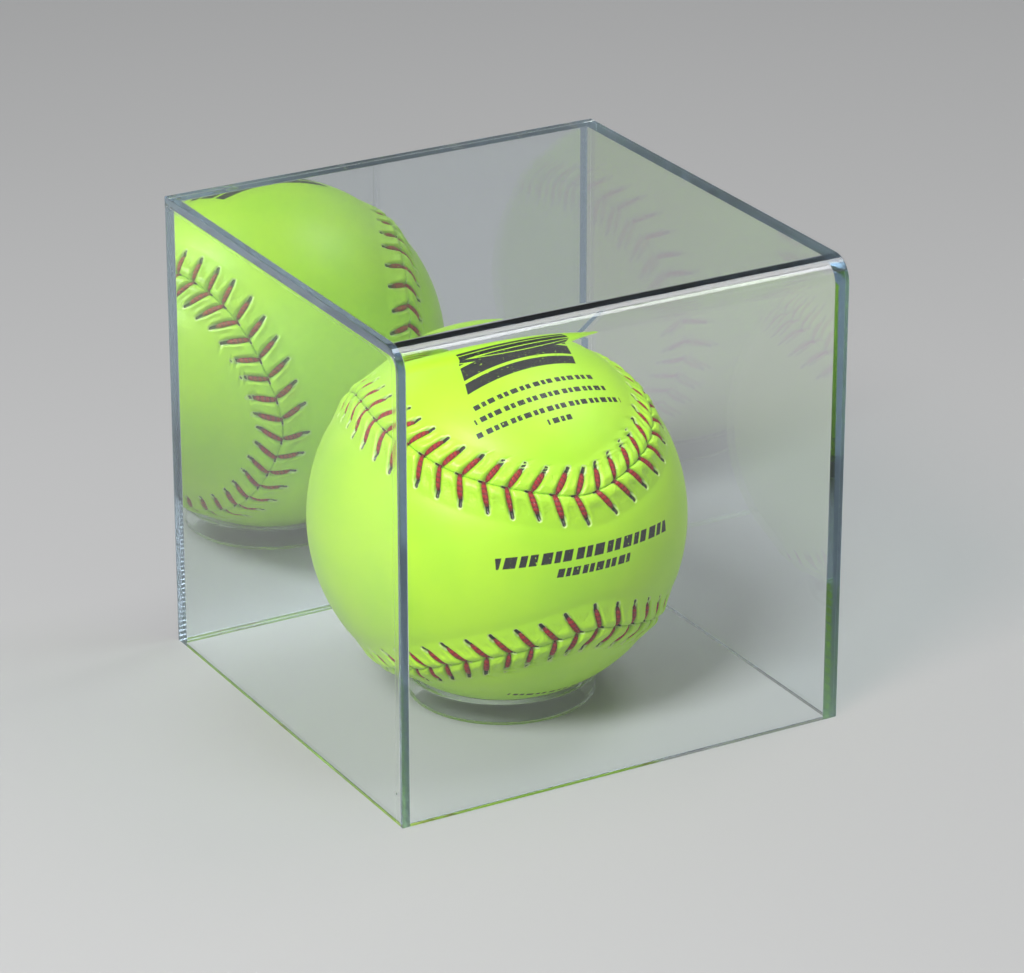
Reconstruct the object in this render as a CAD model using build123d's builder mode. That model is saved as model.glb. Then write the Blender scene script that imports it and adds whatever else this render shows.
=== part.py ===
"""Clear acrylic cube display case with a mirrored back, a ring riser and a softball on it.

Millimetres, +Z up. The origin is the middle of the case's footprint, on the surface that it
stands on. The front of the case faces -Y and the mirror closes the back, at +Y.
"""

from build123d import *
from math import cos, pi, radians, sin, sqrt
import os

os.makedirs("parts", exist_ok=True)

# Case: one heat-bent sheet for front and top, two flat sides and a mirrored back.
CASE_WIDTH = 128.5
CASE_DEPTH = 127.5
CASE_HEIGHT = 127.0
SHEET = 3.0
BEND_INNER_RADIUS = 3.5
BEND_OUTER_RADIUS = BEND_INNER_RADIUS + SHEET
MIRROR_COAT = 0.2

# Riser: a short slice of clear tube, stood a little off the middle of the case.
RISER_OUTER_RADIUS = 25.0
RISER_INNER_RADIUS = 22.0
RISER_HEIGHT = 6.0
RISER_EDGE = 0.4
RISER_X = -2.0
RISER_Y = -2.3

# Softball of twelve inch girth: core, two figure-eight cover panels and laced thread.
BALL_RADIUS = 48.5
COVER_THICKNESS = 1.6
CORE_GAP = 0.1
SEAM_WAIST = radians(22)
BALL_TIP = radians(4.4)
SEAT_GAP = 0.15
STITCHES = 88
STITCH_PHASE = 0.4
THREAD_RADIUS = 0.5
THREAD_GAP = 0.02
LEG_SPREAD = 5.6
LEG_LEAN = 2.4
LEG_START = 0.6

# Places worked out from the sizes above.
HALF_WIDTH = CASE_WIDTH / 2
HALF_DEPTH = CASE_DEPTH / 2
INNER_FRONT = SHEET - HALF_DEPTH
INNER_TOP = CASE_HEIGHT - SHEET
MIRROR_FACE = HALF_DEPTH - SHEET
COAT_FACE = HALF_DEPTH - MIRROR_COAT
CORE_RADIUS = BALL_RADIUS - COVER_THICKNESS - CORE_GAP
SEAT_RADIUS = RISER_INNER_RADIUS + RISER_EDGE
BALL_Z = RISER_HEIGHT + sqrt(BALL_RADIUS**2 - SEAT_RADIUS**2) + SEAT_GAP

# The ball's own frame: Z towards the front panel, tipped up a little, and X downwards.
BALL_FRAME = Plane(
    origin=(RISER_X, RISER_Y, BALL_Z),
    x_dir=(0, -sin(BALL_TIP), -cos(BALL_TIP)),
    z_dir=(0, -cos(BALL_TIP), sin(BALL_TIP)),
)


def seam_direction(turn):
    """Unit vector to the seam at turn, 0 to 4 pi, in the ball's frame.

    The seam swings between the two poles twice a lap, and its azimuth grows steadily with a
    ripple, which gives the four rounded loops of a figure-eight cover.
    """
    colatitude = pi / 2 - (pi / 2 - SEAM_WAIST) * cos(turn)
    azimuth = turn / 2 + SEAM_WAIST * sin(2 * turn)
    return Vector(
        sin(colatitude) * cos(azimuth),
        sin(colatitude) * sin(azimuth),
        cos(colatitude),
    )


def seam_loop(reach, points=96):
    """Closed spline along the seam on a sphere of radius reach."""
    turns = [4 * pi * i / points for i in range(points)]
    return Edge.make_spline([seam_direction(t) * reach for t in turns], periodic=True)


def stitch_turns(steps=4000):
    """Seam parameters of the stitches, evenly spaced along the seam's length."""
    turns = [4 * pi * i / steps for i in range(steps + 1)]
    directions = [seam_direction(t) for t in turns]
    lengths = [0.0]
    for before, after in zip(directions, directions[1:]):
        lengths.append(lengths[-1] + (after - before).length)
    pitch = lengths[-1] / STITCHES
    chosen = []
    for turn, length in zip(turns, lengths):
        if len(chosen) < STITCHES and length >= (len(chosen) + STITCH_PHASE) * pitch:
            chosen.append(turn)
    return chosen


def leg_plane(turn, side):
    """Plane in the middle of one leg of a V stitch, its Z along the leg.

    The leg starts beside the seam and runs outwards to its hole, leaning back along the seam.
    """
    outward = seam_direction(turn)
    ahead = (seam_direction(turn + 0.001) - outward).normalized()
    across = outward.cross(ahead) * side
    start = outward * BALL_RADIUS + across * LEG_START
    end = outward * BALL_RADIUS + across * LEG_SPREAD - ahead * LEG_LEAN
    start, end = (point.normalized() * BALL_RADIUS for point in (start, end))
    middle = (start + end).normalized() * (BALL_RADIUS + THREAD_RADIUS + THREAD_GAP)
    return BALL_FRAME * Plane(origin=middle, z_dir=end - start)


LEG_LENGTH = sqrt((LEG_SPREAD - LEG_START) ** 2 + LEG_LEAN**2)
SEAM_BAND = BALL_FRAME * Face.make_surface_from_curves(
    seam_loop(BALL_RADIUS * 0.9), seam_loop(BALL_RADIUS * 1.1)
)

# Front and top in one sheet, bent through a right angle along the top front edge.
with BuildPart() as front_and_top_sheet:
    with BuildSketch(Plane.YZ) as bend_profile:
        with BuildLine():
            Polyline(
                (-HALF_DEPTH, 0),
                (INNER_FRONT, 0),
                (INNER_FRONT, INNER_TOP),
                (HALF_DEPTH, INNER_TOP),
                (HALF_DEPTH, CASE_HEIGHT),
                (-HALF_DEPTH, CASE_HEIGHT),
                close=True,
            )
        make_face()
        outer_corner = bend_profile.vertices().sort_by_distance((-HALF_DEPTH, CASE_HEIGHT))[0]
        fillet(outer_corner, BEND_OUTER_RADIUS)
        inner_corner = bend_profile.vertices().sort_by_distance((INNER_FRONT, INNER_TOP))[0]
        fillet(inner_corner, BEND_INNER_RADIUS)
    extrude(amount=HALF_WIDTH, both=True)
front_and_top_sheet.part.label = "front_and_top_sheet"
export_step(front_and_top_sheet.part, "parts/front_and_top_sheet.step")

# Sides: butted between the front and the mirror, under the top, corner rounded to the bend.
with BuildPart() as left_side_panel:
    with BuildSketch(Plane.YZ.offset(-HALF_WIDTH)) as side_profile:
        with BuildLine():
            Polyline(
                (INNER_FRONT, 0),
                (MIRROR_FACE, 0),
                (MIRROR_FACE, INNER_TOP),
                (INNER_FRONT, INNER_TOP),
                close=True,
            )
        make_face()
        bend_corner = side_profile.vertices().sort_by_distance((INNER_FRONT, INNER_TOP))[0]
        fillet(bend_corner, BEND_INNER_RADIUS)
    extrude(amount=SHEET)
left_side_panel.part.label = "left_side_panel"
export_step(left_side_panel.part, "parts/left_side_panel.step")

with BuildPart() as right_side_panel:
    add(left_side_panel.part.mirror(Plane.YZ))
right_side_panel.part.label = "right_side_panel"
export_step(right_side_panel.part, "parts/right_side_panel.step")

# Back: a clear sheet silvered on its rear face, with the protective coat behind the silver.
with BuildPart() as mirror_sheet:
    with BuildSketch(Plane.XZ.offset(-COAT_FACE)):
        with Locations((0, INNER_TOP / 2)):
            Rectangle(CASE_WIDTH, INNER_TOP)
    extrude(amount=SHEET - MIRROR_COAT)
mirror_sheet.part.label = "mirror_sheet"
export_step(mirror_sheet.part, "parts/mirror_sheet.step")

with BuildPart() as mirror_backing:
    with BuildSketch(Plane.XZ.offset(-HALF_DEPTH)):
        with Locations((0, INNER_TOP / 2)):
            Rectangle(CASE_WIDTH, INNER_TOP)
    extrude(amount=MIRROR_COAT)
mirror_backing.part.label = "mirror_backing"
export_step(mirror_backing.part, "parts/mirror_backing.step")

# Riser: the ball rests on its inner top edge, so every edge is eased.
with BuildPart() as riser_ring:
    with BuildSketch():
        with Locations((RISER_X, RISER_Y)):
            Circle(RISER_OUTER_RADIUS)
            Circle(RISER_INNER_RADIUS, mode=Mode.SUBTRACT)
    extrude(amount=RISER_HEIGHT)
    chamfer(riser_ring.edges().filter_by(GeomType.CIRCLE), RISER_EDGE)
riser_ring.part.label = "riser_ring"
export_step(riser_ring.part, "parts/riser_ring.step")

# Ball: moulded core inside the stitched cover.
with BuildPart(BALL_FRAME) as ball_core:
    Sphere(CORE_RADIUS)
ball_core.part.label = "ball_core"
export_step(ball_core.part, "parts/ball_core.step")

# The cover's two panels are the same shape, and meet edge to edge along the seam. One has its
# waist at the back and its lobes over the top and bottom, the other its lobes at the sides.
with BuildPart(BALL_FRAME) as ball_panel_top_and_bottom:
    Sphere(BALL_RADIUS)
    Sphere(BALL_RADIUS - COVER_THICKNESS, mode=Mode.SUBTRACT)
    split(bisect_by=SEAM_BAND, keep=Keep.TOP)
ball_panel_top_and_bottom.part.label = "ball_panel_top_and_bottom"
export_step(ball_panel_top_and_bottom.part, "parts/ball_panel_top_and_bottom.step")

with BuildPart(BALL_FRAME) as ball_panel_sides:
    Sphere(BALL_RADIUS)
    Sphere(BALL_RADIUS - COVER_THICKNESS, mode=Mode.SUBTRACT)
    split(bisect_by=SEAM_BAND, keep=Keep.BOTTOM)
ball_panel_sides.part.label = "ball_panel_sides"
export_step(ball_panel_sides.part, "parts/ball_panel_sides.step")

# Lacing: both legs of every V stitch, lying on the cover.
with BuildPart() as seam_thread:
    with Locations(*[leg_plane(t, side) for t in stitch_turns() for side in (-1, 1)]):
        Cylinder(THREAD_RADIUS, LEG_LENGTH)
seam_thread.part.label = "seam_thread"
export_step(seam_thread.part, "parts/seam_thread.step")
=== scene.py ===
"""Looks of a clear display cube with a mirrored back, its ring riser and the laced softball on it.

Everything is in metres in the frame of the packed model: +Z up, the front of the cube towards
-Y, the mirror at +Y. The welded sheets, the riser, the ball's cover panels and its lacing are
surfaces worked out here; the mirror's backing and the ball's core keep their own meshes and get
a finish. Small lengths are written in millimetres, through MM.
"""

import logging
from dataclasses import dataclass, field
from enum import Enum
from math import cos, pi, radians, sin
from typing import Any, Callable, Union

import bpy
import numpy as np
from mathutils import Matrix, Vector


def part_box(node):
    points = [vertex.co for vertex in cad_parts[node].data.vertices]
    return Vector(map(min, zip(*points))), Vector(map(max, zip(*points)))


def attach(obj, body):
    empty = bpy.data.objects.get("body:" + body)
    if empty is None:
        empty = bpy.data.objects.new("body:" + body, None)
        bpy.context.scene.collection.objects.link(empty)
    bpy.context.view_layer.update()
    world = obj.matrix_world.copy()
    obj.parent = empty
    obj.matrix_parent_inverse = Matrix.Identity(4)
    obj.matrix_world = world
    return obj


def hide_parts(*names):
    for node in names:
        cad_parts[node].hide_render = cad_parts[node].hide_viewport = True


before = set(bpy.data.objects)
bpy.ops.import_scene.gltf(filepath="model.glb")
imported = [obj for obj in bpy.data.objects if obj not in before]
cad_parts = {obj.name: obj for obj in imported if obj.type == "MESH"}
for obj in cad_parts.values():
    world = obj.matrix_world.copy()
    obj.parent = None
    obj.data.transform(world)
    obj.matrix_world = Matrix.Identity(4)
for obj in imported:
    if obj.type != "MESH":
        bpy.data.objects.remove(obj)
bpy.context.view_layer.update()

LOG = logging.getLogger("display_cube")
MM = 0.001
Colour = tuple[float, float, float]
Number = Union[float, "Value"]
Array = np.ndarray
Socket = bpy.types.NodeSocket
Material = bpy.types.Material


class Slot(Enum):
    """The record's material slots that the new pieces take."""

    ACRYLIC = "clear_acrylic"
    COVER = "ball_cover"
    THREAD = "seam_thread"


class Body(Enum):
    """The bodies that pieces ride on."""

    RISER = "riser"
    COVER = "cover"
    BALL = "ball"


class Side(Enum):
    """The two sides of the seam, seen along it."""

    LEFT = 1
    RIGHT = -1


# ---------------------------------------------------------------- shader graphs


def operator(operation: str, meaning: str, swapped: bool = False) -> Callable[..., "Value"]:
    """Makes a method of Value that adds one Math node.

    Args:
        operation: the node's operation.
        meaning: the method's docstring.
        swapped: whether the method's own number comes last.

    Returns:
        The method.
    """
    def method(self: "Value", *others: Number) -> "Value":
        """Adds the node."""
        operands = (*others, self) if swapped else (self, *others)
        node = self.graph.add("ShaderNodeMath", {"operation": operation}, dict(enumerate(operands)))
        return Value(self.graph, node.outputs[0])

    method.__doc__ = meaning
    return method


class Value:
    """A number on a surface: wraps a float socket, and each operator adds one Math node."""

    __add__ = __radd__ = operator("ADD", "Sum.")
    __sub__ = operator("SUBTRACT", "Difference.")
    __rsub__ = operator("SUBTRACT", "Difference with the number on the left.", swapped=True)
    __mul__ = __rmul__ = operator("MULTIPLY", "Product.")
    __truediv__ = operator("DIVIDE", "Quotient.")
    __pow__ = operator("POWER", "Power.")
    __abs__ = operator("ABSOLUTE", "Distance from zero.")
    least = operator("MINIMUM", "The smaller of two.")
    most = operator("MAXIMUM", "The larger of two.")
    sine = operator("SINE", "Sine of an angle in radians.")
    fraction = operator("FRACT", "What is left above the whole number below.")

    def __init__(self, graph: "Graph", socket: Socket) -> None:
        """Wraps a socket.

        Args:
            graph: the graph that the socket's node belongs to.
            socket: the output that carries the number.
        """
        self.graph = graph
        self.socket = socket

    def rise(self, low: float, high: float) -> "Value":
        """0 below low, 1 above high, smooth between. With low above high it falls instead."""
        settings = {"interpolation_type": "SMOOTHSTEP"}
        if low <= high:
            ends = {"Value": self, "From Min": low, "From Max": high}
        else:
            ends = {"Value": self, "From Min": high, "From Max": low, "To Min": 1.0, "To Max": 0.0}
        return Value(self.graph, self.graph.add("ShaderNodeMapRange", settings, ends).outputs[0])


class Graph:
    """One material and its node tree."""

    def __init__(self, name: str) -> None:
        """Starts an empty material of that name."""
        self.material = bpy.data.materials.new(name)
        self.material.use_nodes = True
        self.tree = self.material.node_tree
        self.tree.nodes.clear()

    def add(self, kind: str, settings: dict[str, Any] | None = None,
            inputs: dict[Any, Any] | None = None) -> bpy.types.Node:
        """Adds any node.

        Args:
            kind: the node's type.
            settings: the node's own properties, set before its sockets.
            inputs: socket name or number to a plain value, a Value or another node's output.

        Returns:
            The node.
        """
        node = self.tree.nodes.new(kind)
        for key, setting in (settings or {}).items():
            setattr(node, key, setting)
        for key, entry in (inputs or {}).items():
            if isinstance(entry, Value):
                self.tree.links.new(entry.socket, node.inputs[key])
            elif isinstance(entry, Socket):
                self.tree.links.new(entry, node.inputs[key])
            else:
                node.inputs[key].default_value = entry
        return node

    def place(self) -> Socket:
        """Where a point lies, in the frame of the packed model."""
        return self.add("ShaderNodeTexCoord").outputs["Object"]

    def parts(self, vector: Socket) -> tuple[Value, Value, Value]:
        """The three numbers of a vector."""
        numbers = self.add("ShaderNodeSeparateXYZ", inputs={0: vector}).outputs
        return tuple(Value(self, number) for number in numbers)

    def uv(self) -> tuple[Value, Value]:
        """The two numbers of the piece's own UV map."""
        return self.parts(self.add("ShaderNodeUVMap").outputs[0])[:2]

    def attribute(self, name: str) -> Value:
        """A number that the mesh carries at its vertices."""
        return Value(self, self.add("ShaderNodeAttribute", {"attribute_name": name}).outputs["Fac"])

    def noise(self, scale: float, detail: float = 3.0, roughness: float = 0.5,
              distortion: float = 0.0) -> Value:
        """Soft random pattern, 0 to 1.

        Args:
            scale: features a metre.
            detail: octaves.
            roughness: how strong the finer octaves are.
            distortion: how far the pattern is pulled about.
        """
        node = self.add("ShaderNodeTexNoise", {"noise_dimensions": "3D"}, {
            "Vector": self.place(), "Scale": scale, "Detail": detail,
            "Roughness": roughness, "Distortion": distortion})
        return Value(self, node.outputs["Fac"])

    def cells(self, scale: float, feature: str = "F1") -> Value:
        """Distance to the nearest of many scattered points, in cells.

        Args:
            scale: cells a metre.
            feature: F1 for the nearest point, DISTANCE_TO_EDGE for the borders between cells.
        """
        node = self.add("ShaderNodeTexVoronoi", {"feature": feature},
                        {"Vector": self.place(), "Scale": scale})
        return Value(self, node.outputs["Distance"])

    def along(self, axis: Vector) -> Value:
        """How far a point lies along an axis from the origin."""
        node = self.add("ShaderNodeVectorMath", {"operation": "DOT_PRODUCT"},
                        {0: self.place(), 1: tuple(axis)})
        return Value(self, node.outputs["Value"])

    def mix(self, low: Any, high: Any, factor: Number) -> Socket:
        """A colour between two: low where factor is 0, high where it is 1."""
        node = self.add("ShaderNodeMix", {"data_type": "RGBA", "clamp_factor": True}, {0: factor})
        for place, entry in ((6, low), (7, high)):
            if isinstance(entry, Socket):
                self.tree.links.new(entry, node.inputs[place])
            else:
                node.inputs[place].default_value = (*entry, 1.0)
        return node.outputs[2]

    def bump(self, height: Value, metres: float, under: Socket | None = None) -> Socket:
        """Normals of a relief.

        Args:
            height: the relief, 0 to 1.
            metres: how deep 1 is.
            under: normals of a relief below this one.
        """
        inputs = {"Height": height, "Distance": metres, "Strength": 1.0}
        if under is not None:
            inputs["Normal"] = under
        return self.add("ShaderNodeBump", inputs=inputs).outputs[0]

    def principled(self, inputs: dict[str, Any]) -> Material:
        """Puts one Principled shader with those inputs on the output, and returns the material."""
        return self.surface(self.add("ShaderNodeBsdfPrincipled", inputs=inputs))

    def surface(self, shader: bpy.types.Node, inside: bpy.types.Node | None = None) -> Material:
        """Puts a shader on the material's output, and one for what it is made of, if any.

        Args:
            shader: what the surface looks like.
            inside: what happens to light on its way through.

        Returns:
            The material.
        """
        output = self.add("ShaderNodeOutputMaterial", inputs={"Surface": shader.outputs[0]})
        if inside is not None:
            self.tree.links.new(inside.outputs[0], output.inputs["Volume"])
        return self.material


# ---------------------------------------------------------------- finishes


@dataclass(frozen=True)
class ClearAcrylic:
    """Polished cast acrylic. Lamps and bounced light pass it unbent, so what it holds is lit.

    Attributes:
        tint: colour of its faces.
        straight: colour of lamplight that passes one face.
        depth_tint: colour that a long way through it keeps.
        depth_density: how soon it does, per metre.
        index: refractive index.
        scuff_scale: scuffs a metre.
        scuff_roughness: roughness of a scuff.
    """

    name: str
    tint: Colour = (0.985, 0.992, 0.995)
    straight: Colour = (0.93, 0.95, 0.95)
    depth_tint: Colour = (0.36, 0.54, 0.68)
    depth_density: float = 8.0
    index: float = 1.491
    scuff_scale: float = 300.0
    scuff_roughness: float = 0.09

    def frost(self, graph: Graph) -> Value | None:
        """How rough the surface is where it is marked, if anywhere."""
        return None

    def build(self) -> Material:
        """Returns the material."""
        graph = Graph(self.name)
        roughness = graph.noise(self.scuff_scale, 2.0, 0.7).rise(0.62, 0.78) * self.scuff_roughness
        frost = self.frost(graph)
        if frost is not None:
            roughness = roughness.most(frost)
        glass = graph.add("ShaderNodeBsdfPrincipled", inputs={
            "Base Color": (*self.tint, 1.0), "Roughness": roughness, "IOR": self.index,
            "Transmission Weight": 1.0})
        clear = graph.add("ShaderNodeBsdfTransparent", inputs={"Color": (*self.straight, 1.0)})
        path = graph.add("ShaderNodeLightPath").outputs
        shader = glass
        for ray in ("Is Diffuse Ray", "Is Shadow Ray"):
            shader = graph.add("ShaderNodeMixShader", inputs={
                0: path[ray], 1: shader.outputs[0], 2: clear.outputs[0]})
        inside = graph.add("ShaderNodeVolumeAbsorption", inputs={
            "Color": (*self.depth_tint, 1.0), "Density": self.depth_density})
        return graph.surface(shader, inside)


@dataclass(frozen=True)
class WeldedAcrylic(ClearAcrylic):
    """Clear acrylic with satin sawn edges, hairlines at its welded butts and a few bubbles.

    Attributes:
        inner_half_width: from the middle to the inside of a side sheet.
        inner_front: inside of the front sheet.
        inner_top: inside of the top sheet.
        mirror_face: front of the mirror's sheet.
        rear: rear of the top sheet.
        bend: radius inside the bend.
        hairline: half width of a weld's hairline.
        line_roughness: of a hairline.
        bubble_roughness: of the frosted spots beside a weld.
        sawn_roughness: of the sheets' ends.
    """

    inner_half_width: float = 0.0
    inner_front: float = 0.0
    inner_top: float = 0.0
    mirror_face: float = 0.0
    rear: float = 0.0
    bend: float = 0.0
    hairline: float = 0.00014
    line_roughness: float = 0.38
    bubble_roughness: float = 0.55
    sawn_roughness: float = 0.11

    def frost(self, graph: Graph) -> Value:
        """How rough the welds and sawn edges are.

        The front and top's weld follows the inside of the bend: the distance to a square with
        one rounded corner. The mirror's weld is a plain upright line. The sheets' sawn ends show
        on the flanks outside those lines, along the floor and at the back of the top.
        """
        x, y, z = graph.parts(graph.place())
        ahead = (self.inner_front + self.bend) - y
        above = z - (self.inner_top - self.bend)
        round_part = (ahead.most(0.0) ** 2.0 + above.most(0.0) ** 2.0) ** 0.5
        past_bend = round_part + ahead.most(above).least(0.0) - self.bend
        past_mirror = y - self.mirror_face
        flank = abs(x).rise(self.inner_half_width, self.inner_half_width + 1 * MM)
        near = abs(past_bend).least(abs(past_mirror).most(z - self.inner_top))
        line = near.rise(self.hairline, 0.0) * self.line_roughness
        bubble = graph.cells(260.0).rise(0.17, 0.06) * near.rise(0.9 * MM, 0.3 * MM)
        bubble = bubble * self.bubble_roughness
        ends = past_bend.most(past_mirror).rise(0.0, 0.1 * MM) * flank
        under = z.rise(0.08 * MM, 0.03 * MM)
        behind = y.rise(self.rear - 0.08 * MM, self.rear - 0.03 * MM)
        marks = graph.noise(2200.0, 1.0) * 0.7 + 0.65
        sawn = ends.most(under).most(behind) * marks * self.sawn_roughness
        return (line.most(bubble) * flank).most(sawn)


@dataclass(frozen=True)
class MirrorBack:
    """Silver film in front, grey protective paint behind, on one thin sheet.

    Attributes:
        middle: where the film ends and the paint begins, along the cube's depth.
    """

    name: str
    middle: float
    silver: Colour = (0.90, 0.915, 0.92)
    paint: Colour = (0.235, 0.245, 0.255)

    def build(self) -> Material:
        """Returns the material."""
        graph = Graph(self.name)
        _, y, _ = graph.parts(graph.place())
        painted = y.rise(self.middle - 0.01 * MM, self.middle + 0.01 * MM)
        speckle = graph.noise(900.0, 4.0, 0.7)
        streaks = graph.noise(60.0, 3.0, 0.6, 1.5).rise(0.35, 0.75)
        scratch = graph.cells(55.0, "DISTANCE_TO_EDGE").rise(0.012, 0.002)
        scratch = scratch * graph.noise(30.0, 1.0).rise(0.58, 0.66)
        shade = graph.mix(self.paint, tuple(c * 1.35 for c in self.paint), streaks * 0.5 + speckle * 0.4)
        worn = graph.mix(shade, (0.42, 0.43, 0.44), scratch * 0.6)
        return graph.principled({
            "Base Color": graph.mix(self.silver, worn, painted),
            "Metallic": 1.0 - painted,
            "Roughness": painted * (0.52 + speckle * 0.12),
            "Normal": graph.bump(speckle * painted, 0.02 * MM)})


@dataclass(frozen=True)
class InkBar:
    """A printed rule across the ball, broken into slanted blocks.

    Attributes:
        tilt: degrees that its middle stands above the ball's front, over the top being 90.
        middle: metres that its middle is to the right.
        half_length: half its length.
        half_height: half its height.
        block: length of one block and its gap.
        slant: how far a block leans for its height.
        gap: share of a block that stays bare.
        lean: degrees that it rises to the right.
    """

    tilt: float
    middle: float
    half_length: float
    half_height: float
    block: float = 3.4 * MM
    slant: float = 0.30
    gap: float = 0.22
    lean: float = 0.0


@dataclass(frozen=True)
class StitchedCover:
    """Optic yellow cover: grain, creases beside the stitches, shade in the seam and black ink.

    Attributes:
        centre: middle of the ball.
        bars: the printed rules.
        badge_tilt: degrees that the printed block's middle stands above the ball's front.
        badge_middle: metres that its middle is to the right.
        badge_half_width: half its width.
        badge_half_height: half its height.
        badge_lean: degrees that it rises to the right.
        badge_slant: how far its sides lean for their height.
        badge_stripe: middle of each bare stripe, as a share of the half height.
        lit, deep: the two tones of the dye.
        crease: beside a leg and along the butt of the panels.
        hole: inside a stitch hole.
        ink: of the print.
        pale: rubbed places and the lips of holes.
    """

    name: str
    centre: Vector
    bars: tuple[InkBar, ...]
    badge_tilt: float
    badge_middle: float
    badge_half_width: float
    badge_half_height: float
    badge_lean: float = 2.2
    badge_slant: float = 0.35
    badge_stripe: float = 0.42
    lit: Colour = (0.52, 0.90, 0.006)
    deep: Colour = (0.43, 0.83, 0.003)
    crease: Colour = (0.17, 0.40, 0.003)
    hole: Colour = (0.018, 0.016, 0.006)
    ink: Colour = (0.002, 0.002, 0.003)
    pale: Colour = (0.72, 0.78, 0.42)

    def _frame(self, graph: Graph, tilt: float, lean: float) -> tuple[Value, Value, Value]:
        """Right, up and outward distances of a point from the ball's middle, in a tilted frame."""
        angle, turn = radians(tilt), radians(lean)
        out = Vector((0.0, -cos(angle), sin(angle)))
        rise = Vector((0.0, sin(angle), cos(angle)))
        across = Vector((1.0, 0.0, 0.0))
        right = across * cos(turn) + rise * sin(turn)
        up = rise * cos(turn) - across * sin(turn)
        return tuple(graph.along(axis) - axis.dot(self.centre) for axis in (right, up, out))

    def _bar(self, graph: Graph, bar: InkBar) -> Value:
        """Where one broken rule prints, 0 to 1."""
        right, up, out = self._frame(graph, bar.tilt, bar.lean)
        inside = abs(right - bar.middle).rise(bar.half_length, bar.half_length - 0.2 * MM)
        inside = inside * abs(up).rise(bar.half_height, bar.half_height - 0.16 * MM)
        run = (right - up * bar.slant + 0.2) / bar.block
        run = run + (run * 2.3).sine() * 0.14
        blocks = abs(run.fraction() - 0.5).rise(0.5 - bar.gap / 2, 0.5 - bar.gap / 2 - 0.06)
        return inside * blocks * out.rise(0.0, 1 * MM)

    def _badge(self, graph: Graph) -> Value:
        """A plain slanted block with two bare stripes along it."""
        right, up, out = self._frame(graph, self.badge_tilt, self.badge_lean)
        run = right - self.badge_middle - up * self.badge_slant
        solid = abs(run).rise(self.badge_half_width, self.badge_half_width - 0.25 * MM)
        solid = solid * abs(up).rise(self.badge_half_height, self.badge_half_height - 0.25 * MM)
        stripe = abs(abs(up) - self.badge_half_height * self.badge_stripe).rise(0.65 * MM, 0.45 * MM)
        return solid * (1.0 - stripe) * out.rise(0.0, 1 * MM)

    def build(self) -> Material:
        """Returns the material."""
        graph = Graph(self.name)
        seam, hole, leg = (graph.attribute(name) for name in ("seam", "hole", "leg"))
        mottle = graph.noise(46.0, 3.0, 0.55)
        grain = graph.noise(2600.0, 3.0, 0.6)
        pebble = graph.cells(1500.0)
        crease = graph.noise(520.0, 4.0, 0.6, 0.8)
        skin = graph.mix(self.deep, self.lit, mottle.rise(0.30, 0.66) * 0.75 + grain * 0.25)
        # Painted shade: the dye darkens towards the crease colour beside each leg and along the butt
        # line between the panels.
        leg_shade = leg.rise(1.25, 0.55) * 0.85
        butt = seam.rise(0.24, 0.04) * 0.40
        skin = graph.mix(skin, self.crease, leg_shade.most(butt))
        rubbed = graph.noise(330.0, 4.0, 0.7).rise(0.66, 0.76)
        rubbed = rubbed * graph.noise(21.0, 1.0).rise(0.5, 0.7)
        skin = graph.mix(skin, self.pale, rubbed * 0.25)
        print_mask = self._badge(graph)
        for bar in self.bars:
            print_mask = print_mask.most(self._bar(graph, bar))
        print_mask = print_mask * graph.noise(1500.0, 2.0).rise(0.24, 0.34)
        skin = graph.mix(skin, self.ink, print_mask)
        # Painted highlight: a pale ring on the lip round each hole.
        lip_highlight = hole.rise(1.0, 1.12) * hole.rise(1.9, 1.3)
        skin = graph.mix(skin, self.pale, lip_highlight * 0.55)
        # Painted shade: near black inside each stitch hole and notch.
        skin = graph.mix(skin, self.hole, hole.rise(1.06, 0.82))
        relief = graph.bump(grain * 0.6 + pebble * 0.4, 0.030 * MM)
        wrinkle = crease * seam.rise(9.0, 3.0)
        relief = graph.bump(wrinkle, 0.44 * MM, relief)
        swell = graph.noise(70.0, 2.0, 0.5)
        relief = graph.bump(swell, 0.25 * MM, relief)
        return graph.principled({
            "Base Color": skin,
            "Roughness": 0.42 + mottle * 0.08 + grain * 0.06,
            "Coat Weight": 0.50 * (1.0 - leg_shade.most(print_mask)),
            "Coat Roughness": 0.38,
            "Specular IOR Level": 0.42,
            "Normal": relief})


@dataclass(frozen=True)
class WaxedThread:
    """Red two-ply lacing thread with a waxed sheen; plies run slantwise round each leg.

    Attributes:
        bright, dark: tones of the wax, on a ply and between plies.
        plies_per_leg: turns of the plies along a leg.
        fibres_round: fibres seen round the thread.
    """

    name: str
    bright: Colour = (0.43, 0.0005, 0.004)
    painted_shade: Colour = (0.15, 0.0005, 0.002)
    plies_per_leg: float = 5.0
    fibres_round: float = 26.0

    def build(self) -> Material:
        """Returns the material. U runs once round the thread and V from 0 to 1 along a leg."""
        graph = Graph(self.name)
        around, along = graph.uv()
        twist = (around + along * self.plies_per_leg) * (2 * pi)
        ply = twist.sine() * 0.5 + 0.5
        fibre = ((around - along * 1.5) * (2 * pi * self.fibres_round)).sine() * 0.5 + 0.5
        stain = graph.noise(700.0, 3.0)
        # Painted shade: the red darkens between the plies and towards both ends of a leg, where it dives
        # under the leather.
        tone = (ply.rise(0.02, 0.55) * 0.75 + fibre * 0.12 + stain * 0.2)
        ends = abs(along - 0.5).rise(0.36, 0.5)
        colour = graph.mix(graph.mix(self.painted_shade, self.bright, tone), self.painted_shade, ends * 0.8)
        relief = graph.bump(ply * 0.75 + fibre * 0.25, 0.10 * MM)
        return graph.principled({
            "Base Color": colour, "Roughness": 0.40 + fibre * 0.15, "Normal": relief,
            "Specular IOR Level": 0.38})


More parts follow.
